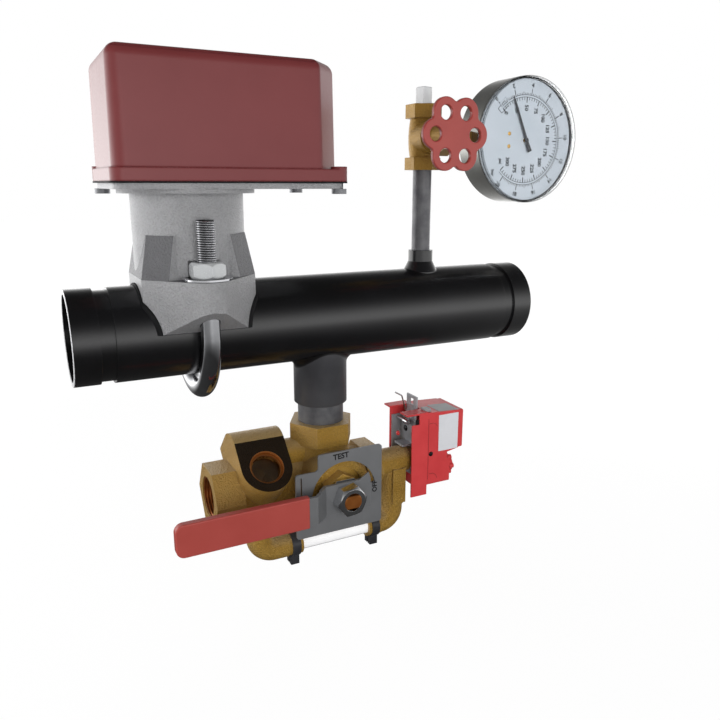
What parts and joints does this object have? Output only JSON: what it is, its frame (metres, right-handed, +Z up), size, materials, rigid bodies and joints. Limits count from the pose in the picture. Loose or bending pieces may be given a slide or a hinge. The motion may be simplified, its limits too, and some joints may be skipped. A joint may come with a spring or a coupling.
{
  "type": "sprinkler floor control assembly",
  "caption": "Grooved header pipe with a flow switch on top, a pressure gauge with its valve, and a lever test and drain valve with relief bypass below.",
  "frame": {"origin": "centre of the header pipe's inlet end, on its axis", "axes": "+X along the header towards its outlet, -Y towards the user who reads the gauge, +Z up"},
  "size_m": [0.3833, 0.1098, 0.36],
  "materials": {
    "black_pipe": "black paint, semi-gloss",
    "nipple_steel": "dark mill finish steel pipe",
    "cast_aluminium": "sandy cast surface",
    "gasket_rubber": "matt black rubber",
    "plated_steel": "bright zinc plate",
    "cover_red": "red paint, semi-gloss",
    "screw_steel": "blackened steel",
    "vane_plastic": "moulded black",
    "inner_steel": "turned",
    "inner_plastic": "moulded black",
    "knob_plastic": "moulded red",
    "cast_bronze": "sandy cast bronze",
    "machined_bronze": "turned bronze",
    "seat_white": "white fluoropolymer",
    "wheel_red": "red paint, chipped at edges",
    "gauge_black": "black gloss",
    "clear_glass": "clear",
    "dial_white": "matt pale blue-white",
    "pointer_black": "matt black",
    "movement_brass": "stamped and turned",
    "plate_steel": "brushed grey steel",
    "sleeve_red": "dipped vinyl, satin",
    "ball_chrome": "polished",
    "relief_bronze": "dark cast bronze",
    "clear_tube": "clear vinyl",
    "clamp_black": "black",
    "switch_red": "red powder coat",
    "frame_steel": "galvanised"
  },
  "bodies": {
    "root": {"header_pipe": "black_pipe", "drain_coupling": "black_pipe", "drain_pipe": "nipple_steel", "flow_switch_base": "cast_aluminium", "saddle_seal": "gasket_rubber", "u_bolt": "plated_steel", "u_bolt_washers": "plated_steel", "u_bolt_nuts": "plated_steel", "base_plate": "gasket_rubber", "switch_cover": "cover_red", "cover_screws": "screw_steel", "vane_pin": "inner_steel", "neck_seal": "gasket_rubber", "delay_unit": "inner_plastic", "switch_blocks": "inner_plastic", "terminal_strip": "inner_plastic", "gauge_pipe": "nipple_steel", "gauge_valve_body": "cast_bronze", "gauge_plug": "cast_bronze", "gauge_bonnet": "machined_bronze", "gauge_case": "gauge_black", "gauge_bezel": "gauge_black", "gauge_lens": "clear_glass", "gauge_dial": "dial_white", "movement_frame": "movement_brass", "bourdon_tube": "movement_brass", "gauge_socket": "movement_brass", "test_drain_body": "cast_bronze", "ball_seats": "seat_white", "stem_bonnet": "machined_bronze", "plate_nut": "plated_steel", "indicator_plate": "plate_steel", "sight_glasses": "clear_glass", "sight_rings": "machined_bronze", "relief_body": "relief_bronze", "bypass_right_elbow": "relief_bronze", "bypass_left_elbow": "relief_bronze", "bypass_tube": "clear_tube", "hose_clamps": "clamp_black", "switch_bracket": "switch_red", "switch_frame": "frame_steel", "switch_housing": "switch_red", "switch_lid": "switch_red"},
    "lever": {"lever_handle": "plate_steel", "lever_sleeve": "sleeve_red", "lever_nut": "plated_steel", "valve_stem": "machined_bronze", "valve_ball": "ball_chrome"},
    "gauge_disc": {"seat_disc": "gasket_rubber"},
    "gauge_wheel": {"handwheel": "wheel_red", "gauge_stem": "machined_bronze"},
    "pointer": {"gauge_pointer": "pointer_black", "pointer_shaft": "movement_brass"},
    "sector": {"sector_gear": "movement_brass"},
    "vane": {"flow_vane": "vane_plastic", "vane_lever": "inner_steel"},
    "delay_dial": {"delay_knob": "knob_plastic"},
    "poppet": {"relief_poppet": "machined_bronze"},
    "wire": {"trip_wire": "frame_steel"},
    "switch_knob": {"thumb_knob": "knob_plastic"}
  },
  "joints": [
    {"name": "lever_turn", "type": "hinge", "parent": "root", "child": "lever", "pos_m": [0.1678, 0, -0.122], "axis": [0, -1, 0], "range_deg": [0, 180]},
    {"name": "gauge_disc_slide", "type": "slide", "parent": "root", "child": "gauge_disc", "axis": [0, 1, 0], "range_m": [0, 0.003]},
    {"name": "gauge_wheel_turn", "type": "hinge", "parent": "gauge_disc", "child": "gauge_wheel", "pos_m": [0.2518, 0, 0.1243], "axis": [0, 1, 0], "range_deg": [0, 540]},
    {"name": "sector_swing", "type": "hinge", "parent": "root", "child": "sector", "pos_m": [0.31575, 0, 0.1243], "axis": [0, 1, 0], "range_deg": [-33.27, 2.73]},
    {"name": "pointer_turn", "type": "hinge", "parent": "root", "child": "pointer", "pos_m": [0.337, 0, 0.1243], "axis": [0, 1, 0], "range_deg": [-20.6, 249.6]},
    {"name": "vane_swing", "type": "hinge", "parent": "root", "child": "vane", "pos_m": [0.078, 0, 0.055], "axis": [0, -1, 0], "range_deg": [0, 15], "stiffness_Nm_per_rad": 0.6, "springref_deg": -5.73},
    {"name": "delay_knob_turn", "type": "hinge", "parent": "root", "child": "delay_dial", "pos_m": [0.104, 0, 0.12], "axis": [0, 0, 1], "range_deg": [0, 300]},
    {"name": "relief_lift", "type": "slide", "parent": "root", "child": "poppet", "axis": [0, 0, -1], "range_m": [0, 0.002], "stiffness_N_per_m": 400, "springref_m": -0.002},
    {"name": "trip_wire_tilt", "type": "hinge", "parent": "root", "child": "wire", "pos_m": [0.243, 0.002, -0.092], "axis": [0, -1, 0], "range_deg": [0, 25], "stiffness_Nm_per_rad": 0.02, "springref_deg": -8.59},
    {"name": "thumb_knob_turn", "type": "hinge", "parent": "root", "child": "switch_knob", "pos_m": [0.2757, -0.008, -0.13], "axis": [1, 0, 0], "continuous": true}
  ],
  "couplings": [
    {"joint": "gauge_disc_slide", "follows": "gauge_wheel_turn", "m_per_rad": 0.00031831},
    {"joint": "pointer_turn", "follows": "sector_swing", "ratio": -7.5}
  ]
}
